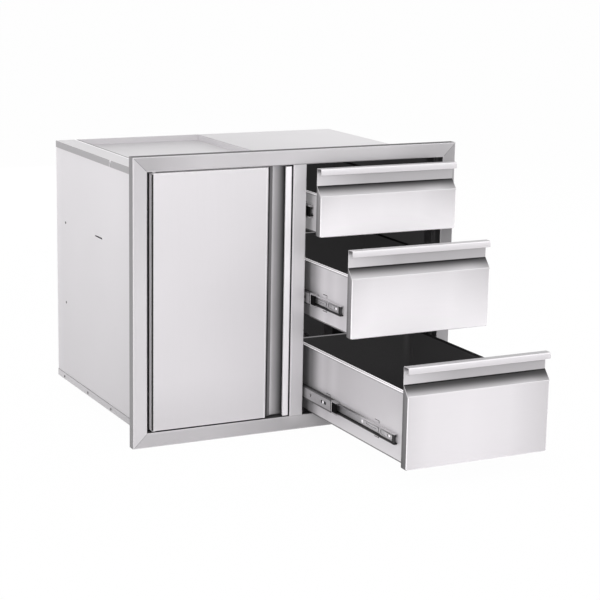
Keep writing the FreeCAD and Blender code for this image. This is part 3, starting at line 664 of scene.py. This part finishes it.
def inner_web_tones(front, foot):
    """The inner member's web, with painted light near its latch and painted shade further back and along its
    lower bend.
    """
    def tones(x, y, z):
        behind = y - front
        level = 0.42 + behind.band(0.105, 0.045) * 0.40 - behind.ramp(0.15, 0.25) * 0.22
        return level * (1 - (z < foot) * 0.93)
    return tones


# Painted shade on the inner member's top, darker further back
def inner_top_tones(front):
    return lambda x, y, z: (y - front).blend(0.10, 0.17, 0.62, 0.10)


def mid_web_tones(front, level):
    """The middle member's web, with painted shade along its bends, a painted highlight on its front edge and
    painted shade behind that.
    """
    def tones(x, y, z):
        behind = y - front
        web = 0.40 + (behind < 1.8 * MM) * 0.50 - behind.within(1.8 * MM, 5.5 * MM) * 0.36
        return web * (1 - (abs(z - level) > 10.6 * MM) * 0.7)
    return tones


def bumper_tones(level):
    """A black bumper held by the light bends of its member."""
    return lambda x, y, z: 0.008 + (abs(z - level) > 10.5 * MM) * 0.30


def paint_drawer_box(drawer, rear_shade, shade, foot, top, glow):
    """Paints a drawer's sheets. Shade, foot and top are shares of the level of its sides."""
    low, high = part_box(drawer + "_box_wrap")
    middle = (low.x + high.x) / 2
    # Painted light and shade on the sides, painted highlights and a painted glow on the rims, and painted
    # shade on the right rim and inside
    side_steel = steel(drawer + "_side_steel", ALONG_Z, drawer_side_tones(low, high, shade, foot, top),
                       glow=glow, standing=True)
    rim_steel = steel(drawer + "_rim_steel", ALONG_Y, rim_tones(low), 0.28, glow=0.45)
    rear_rim = steel(drawer + "_rear_rim_steel", ALONG_X, 0.32, 0.3, glow=0.6)

    def rim(c, n):
        return c.z > high.z - RIM_DEPTH and n.z > UNDERSIDE

    def right_rim(c, n):
        return rim(c, n) and c.x > middle

    def inside(c, n):
        inward = n.x * (middle - c.x) > FACING * abs(middle - c.x)
        return c.z > low.z + 0.5 * MM and (inward or n.z > FACING or n.y > FACING)

    paint(drawer + "_box_wrap", side_steel, (shaded_rim, right_rim), (rim_steel, rim), (drawer_inside_shade, inside))
    paint(drawer + "_box_back", side_steel, (rear_rim, rim),
          (rear_shade, lambda c, n: n.y < -FACING or abs(n.x) > FACING))
    paint(drawer + "_front_plate", side_steel, (drawer_inside_shade, lambda c, n: n.y > FACING))


def paint_slides(drawer):
    """Paints the moving members of a drawer's slides, their ball cages and bumpers."""
    inner_low, inner_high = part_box(drawer + "_slide_inner_left")
    inner_web = zinc(drawer + "_inner_member_web", inner_web_tones(inner_low.y, inner_low.z + BEND))
    inner_top = zinc(drawer + "_inner_member_top", inner_top_tones(inner_low.y))
    mid_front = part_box(drawer + "_slide_mid_left")[0].y
    mid_web = zinc(drawer + "_middle_member_web", mid_web_tones(mid_front, (inner_low.z + inner_high.z) / 2))
    for side in SIDES:
        level = slide_place(drawer, side)[2]
        paint(drawer + "_slide_inner_" + side, inner_web,
              (inner_top, lambda c, n: n.z > FACING and c.z > level + RACE),
              (zinc_dark, lambda c, n: abs(n.z) > FACING and c.z < level - RACE))
        paint(drawer + "_slide_mid_" + side, mid_web, (lit_zinc_face, lambda c, n: n.y < -FACING),
              (zinc_dark, lambda c, n: abs(n.z) > FACING or n.y > FACING))
    paint(drawer + "_ball_cages", cage_dark)
    paint(drawer + "_slide_bumpers", plastic_or_shade(drawer + "_bumper", bumper_tones(level), sheen=0.0))


drawer_inside_shade = painted_inside_shade("painted_shade_drawer_inside", 0.032)
rear_inside_shade = painted_inside_shade("painted_shade_rear_wall_inside", rear_inside_tones)
# Shade, foot and top set the painted shade and light on each drawer's sides; drawer1's also get a painted glow
paint_drawer_box("drawer1", drawer_inside_shade, shade=1.0, foot=0.92, top=0.92, glow=0.22)
paint_drawer_box("drawer2", drawer_inside_shade, shade=0.72, foot=1.08, top=1.0, glow=0.0)
paint_drawer_box("drawer3", rear_inside_shade, shade=0.52, foot=0.98, top=0.84, glow=0.0)
for drawer in DRAWERS:
    paint_slides(drawer)
for side in SIDES:
    paint("slide_outer_" + side, zinc_shaded)
paint("magnetic_catch", black_plastic)


# Small pieces

# A head's rings as shares of its radius, the first on the face that it sits on
HEAD_RINGS = (1.0, 1.0, 0.93, 0.78, 0.62, 0.48, 0.32, 0.16)
HEAD_STEPS = 32
DOME_FALL = 0.5

# A crossed recess in shares of the head's radius and height
CROSS_REACH = 0.6
CROSS_HALF = 0.12
CROSS_FLOOR = 0.35

CORNER_STEPS = 6
PLATE_BEVEL = 0.12 * MM
SHEET = 1.0 * MM

# Heads: radius and rise
TRAY_SCREW = (3.0 * MM, 1.3 * MM)
SIDE_RIVET = (2.8 * MM, 0.9 * MM)
SLIDE_SCREW = (3.4 * MM, 1.2 * MM)
LATCH_BOSS = (3.6 * MM, 1.0 * MM)
SLIDE_STUD = (3.4 * MM, 0.5 * MM)

# Tray screws and side rivets: places along Y and heights
TRAY_SCREW_PLACES = (-0.083, 0.061, 0.215)
TRAY_SCREW_HEIGHT = 6.8 * MM
RIVET_PLACE = 0.201
RIVET_HEIGHTS = (0.1845, 0.368)

# Heads on the slides, by their distance behind the member's front end. A boss also has how far it stands off
# the web and how far it lies below its middle.
SLIDE_SCREW_PLACES = (0.300, 0.372)
LATCH_BOSS_PLACES = ((0.027, 1.8 * MM, 0.0), (0.141, 0.0, 1 * MM))
STUD_PLACE = 0.038

# Latch parts in mm: outline, hole, distance from the web and thickness. An outline or hole has its start and
# end behind the member's front end, half its height, the radius of its corners and the height of its middle.
LATCH_PARTS = (("ring", (1.5, 70, 8.4, 8.0, 0.0), (8, 64, 5.4, 5.3, 0.0), 0.9, 0.8),
               ("catch", (14, 45, 4.4, 4.3, 0.0), (20, 34, 2.6, 2.5, 0.0), 2.5, 0.6),
               ("arm", (72, 136, 4.6, 4.5, -0.5), (80, 122, 1.4, 1.3, 0.5), 0.9, 0.8))

# Front stops in mm: the number in their names and their start, then the measures that they share
FRONT_STOPS = (("2", 1.6), ("8", 7.5))
STOP_LENGTH = 2.4
STOP_HALF = 8.2
STOP_CORNER = 0.8
STOP_LIFT = 3.4
STOP_THICKNESS = 4.6


def add_piece(name, mesh, body, slot, *materials):
    for material in materials:
        mesh.materials.append(material)
    piece = bpy.data.objects.new(name, mesh)
    bpy.context.scene.collection.objects.link(piece)
    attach(piece, body)


def add_head(form, centre, outward, radius, height, crossed):
    """A domed head on a face square to X, with a crossed recess where it is a screw."""
    rings = []
    for share in HEAD_RINGS:
        ring = []
        for step in range(HEAD_STEPS):
            turn = 2 * math.pi * step / HEAD_STEPS
            across, up = share * math.cos(turn), share * math.sin(turn)
            rise = height * (1 - DOME_FALL * share ** 3) if rings else 0.0
            if crossed and share < CROSS_REACH and min(abs(across), abs(up)) < CROSS_HALF:
                rise = height * CROSS_FLOOR
            ring.append(form.verts.new((centre[0] + outward * rise, centre[1] + radius * across,
                                        centre[2] + radius * up)))
        rings.append(ring)
    for outer, inner in zip(rings, rings[1:]):
        for step in range(HEAD_STEPS):
            after = (step + 1) % HEAD_STEPS
            form.faces.new((outer[step], outer[after], inner[after], inner[step]))
    form.faces.new(rings[-1])


def add_heads(name, body, spots, size, material, crossed=False):
    """A set of like heads on one body. Each spot is its place and the side that it faces."""
    form = bmesh.new()
    for centre, outward in spots:
        add_head(form, centre, outward, *size, crossed)
    bmesh.ops.recalc_face_normals(form, faces=form.faces)
    mesh = bpy.data.meshes.new(name)
    form.to_mesh(mesh)
    form.free()
    for polygon in mesh.polygons:
        polygon.use_smooth = True
    add_piece(name, mesh, body, "zinc_steel", material)


def rounded(start, end, half, corner, centre=0.0):
    """An outline along a slide with rounded corners, in mm behind its front end and above its middle."""
    rear, front = end - corner, start + corner
    points = []
    for quarter, (at, height) in enumerate(((rear, half - corner), (front, half - corner),
                                            (front, corner - half), (rear, corner - half))):
        for step in range(CORNER_STEPS + 1):
            turn = math.pi / 2 * (quarter + step / CORNER_STEPS)
            points.append((at + corner * math.cos(turn), centre + height + corner * math.sin(turn)))
    return points


def add_plate(name, body, outlines, origin, outward, thickness, materials):
    """A flat plate square to X at a spot in metres, from its outline, its holes and its thickness in mm."""
    curve = bpy.data.curves.new(name, "CURVE")
    curve.dimensions = "2D"
    curve.fill_mode = "BOTH"
    curve.extrude = thickness * MM / 2
    curve.bevel_depth = PLATE_BEVEL
    for outline in outlines:
        spline = curve.splines.new("POLY")
        spline.points.add(len(outline) - 1)
        for point, (behind, height) in zip(spline.points, outline):
            point.co = (outward * behind * MM, height * MM, 0, 1)
        spline.use_cyclic_u = True
    drawn = bpy.data.objects.new(name, curve)
    mesh = bpy.data.meshes.new_from_object(drawn)
    bpy.data.objects.remove(drawn)
    turn = Matrix(((0, 0, outward), (outward, 0, 0), (0, 1, 0))).to_4x4()
    mesh.transform(Matrix.Translation(origin) @ turn)
    mesh.name = name
    mesh.materials.clear()
    for polygon in mesh.polygons:
        polygon.material_index = 0 if abs(polygon.normal.x) > SQUARE else 1
    add_piece(name, mesh, body, "zinc_steel", *materials)


def add_box_heads():
    """The screws of the tray and the rivets of the box's sides."""
    box_low, box_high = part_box("bottom_panel")
    tray_spots = []
    rivet_spots = []
    for outward, face, wall in ((-1, box_low.x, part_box("side_panel_left")[1].x - SHEET),
                                (1, box_high.x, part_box("side_panel_right")[0].x + SHEET)):
        tray_spots += [((face, y, TRAY_SCREW_HEIGHT), outward) for y in TRAY_SCREW_PLACES]
        rivet_spots += [((wall, RIVET_PLACE, z), outward) for z in RIVET_HEIGHTS]
    add_heads("tray_screws", "cabinet", tray_spots, TRAY_SCREW, zinc("screw_zinc", 0.14, 0.3), crossed=True)
    add_heads("side_rivets", "cabinet", rivet_spots, SIDE_RIVET, plastic_or_shade("rivet_dark", 0.07, roughness=0.5))


def add_slide_parts(drawer):
    """The latches and front stops of a drawer's slides, then their screws, bosses and studs."""
    screw_spots = []
    boss_spots = []
    stud_spots = []
    for side, outward in zip(SIDES, (-1, 1)):
        low, high, level = slide_place(drawer, side)
        web = (high.x if outward < 0 else low.x) + outward * SHEET
        screw_spots += [((web, low.y + behind, level), outward) for behind in SLIDE_SCREW_PLACES]
        boss_spots += [((web + outward * lift, low.y + behind, level - below), outward)
                       for behind, lift, below in LATCH_BOSS_PLACES]
        mid_low, mid_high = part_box(drawer + "_slide_mid_" + side)
        stud_spots += [((mid_low.x if outward < 0 else mid_high.x, mid_low.y + STUD_PLACE, level), outward)]
        for part, outline, hole, lift, thickness in LATCH_PARTS:
            add_plate(drawer + "_latch_" + part + "_" + side, drawer, (rounded(*outline), rounded(*hole)),
                      Vector((web + outward * lift * MM, low.y, level)), outward, thickness,
                      (latch_zinc, shaded_latch_edge))
        for number, start in FRONT_STOPS:
            add_plate(drawer + "_front_stop_" + number + "_" + side, drawer,
                      (rounded(start, start + STOP_LENGTH, STOP_HALF, STOP_CORNER),),
                      Vector((web + outward * STOP_LIFT * MM, low.y, level)), outward, STOP_THICKNESS,
                      (stop_plastic, stop_plastic))
    add_heads(drawer + "_slide_screws", drawer, screw_spots, SLIDE_SCREW, painted_zinc_highlight, crossed=True)
    add_heads(drawer + "_latch_bosses", drawer, boss_spots, LATCH_BOSS, painted_zinc_highlight)
    add_heads(drawer + "_slide_studs", drawer.replace("drawer", "slides"), stud_spots, SLIDE_STUD, painted_zinc_highlight)


add_box_heads()
latch_zinc = zinc("latch_zinc", 0.50)
# Painted shade on the edges of the latch plates
shaded_latch_edge = zinc("shaded_latch_edge", 0.06)
# Near-white heads on the slides, a painted glint on their zinc
painted_zinc_highlight = steel("painted_glint_rivet_zinc", ALONG_Y, 0.97, 0.3, metallic=0.0)
for drawer in DRAWERS:
    add_slide_parts(drawer)


# Stage: pale floor, white surroundings and soft lamps

FLOOR_GAP = 0.5 * MM
FLOOR_HALF = 30.0
FLOOR_WHITENESS = 0.985
PLAIN_LIGHT = 0.36

# Lamps: place, what they look at, size in metres and power in watts
LAMPS = (("key", (-0.8, -4.0, 1.1), (0, -0.3, 0.3), (2.4, 1.6), 74),
         ("side", (-3.3, -0.7, 1.1), (0, -0.3, 0.25), (2.2, 1.8), 42),
         ("overhead", (-0.2, -0.3, 3.0), (0, -0.3, 0.3), (2.4, 2.4), 34),
         ("far_side", (3.4, 0.2, 0.9), (0, 0, 0.3), (2.2, 1.6), 56),
         ("behind", (0.4, 3.6, 0.9), (0, 0, 0.3), (2.2, 1.6), 56))

# The camera that was fitted to the corners in the photograph: its place, its yaw, pitch and roll in degrees,
# and its focal length in pixels of a picture this wide
CAMERA_PLACE = (-1.64123, -3.50711, 1.055)
CAMERA_ANGLES = (27.0013, 12.3967, 1.0752)
FOCAL_PIXELS = 1752.12
PICTURE_PIXELS = 600
SENSOR_WIDTH = 36.0
VIEW_LIMIT = 100.0


def seen_directly(finish):
    """1 for rays that show the background as such, also in metal and glass."""
    path = finish.node("ShaderNodeLightPath")
    return path["Is Camera Ray"].most(path["Is Glossy Ray"]).most(path["Is Transmission Ray"])


def white_floor(level):
    """A pale floor that looks white and still takes the shadows."""
    finish = Finish(bpy.data.materials.new("pale_floor"))
    spot = finish.place()[0]
    grain = finish.noise(spot, scale=3.0)
    colour = finish.between(grain, grey(0.90), grey(0.92))
    matt = finish.node("ShaderNodeBsdfDiffuse", inputs={"Color": colour})["BSDF"]
    glow = finish.node("ShaderNodeEmission", inputs={"Color": WHITE, "Strength": 1.0})["Emission"]
    inputs = {0: seen_directly(finish) * FLOOR_WHITENESS, 1: matt, 2: glow}
    shader = finish.node("ShaderNodeMixShader", inputs=inputs)["Shader"]
    finish.node("ShaderNodeOutputMaterial", inputs={"Surface": shader})
    mesh = bpy.data.meshes.new("floor")
    corners = [(x * FLOOR_HALF, y * FLOOR_HALF, level) for x, y in ((-1, -1), (1, -1), (1, 1), (-1, 1))]
    mesh.from_pydata(corners, [], [(0, 1, 2, 3)])
    mesh.materials.append(finish.owner)
    floor = bpy.data.objects.new("floor", mesh)
    bpy.context.scene.collection.objects.link(floor)


def white_world():
    """Surroundings that look white and light the unit weakly."""
    world = bpy.data.worlds.new("studio")
    bpy.context.scene.world = world
    finish = Finish(world)
    strength = seen_directly(finish) * (1 - PLAIN_LIGHT) + PLAIN_LIGHT
    glow = finish.node("ShaderNodeBackground", inputs={"Color": WHITE, "Strength": strength})["Background"]
    finish.node("ShaderNodeOutputWorld", inputs={"Surface": glow})


def add_lamp(name, place, aim, size, power):
    light = bpy.data.lights.new(name, "AREA")
    light.shape = "RECTANGLE"
    light.size, light.size_y = size
    light.energy = power
    lamp = bpy.data.objects.new(name, light)
    lamp.location = place
    lamp.visible_glossy = False
    lamp.rotation_euler = (Vector(aim) - Vector(place)).to_track_quat("-Z", "Y").to_euler()
    bpy.context.scene.collection.objects.link(lamp)


def add_photo_camera():
    yaw, pitch, roll = (math.radians(angle) for angle in CAMERA_ANGLES)
    forward = Vector((math.sin(yaw) * math.cos(pitch), math.cos(yaw) * math.cos(pitch), -math.sin(pitch)))
    level = Vector((math.cos(yaw), -math.sin(yaw), 0))
    upward = level.cross(forward)
    right = math.cos(roll) * level + math.sin(roll) * upward
    up = math.cos(roll) * upward - math.sin(roll) * level
    camera = bpy.data.objects.new("camera", bpy.data.cameras.new("camera"))
    camera.data.sensor_width = SENSOR_WIDTH
    camera.data.lens = FOCAL_PIXELS * SENSOR_WIDTH / PICTURE_PIXELS
    camera.data.clip_end = VIEW_LIMIT
    turn = Matrix((right, up, -forward)).transposed()
    camera.matrix_world = Matrix.Translation(CAMERA_PLACE) @ turn.to_4x4()
    bpy.context.scene.collection.objects.link(camera)
    bpy.context.scene.camera = camera


white_floor(cad_low.z - FLOOR_GAP)
white_world()
for lamp in LAMPS:
    add_lamp(*lamp)
add_photo_camera()
bpy.context.scene.view_settings.view_transform = "Standard"
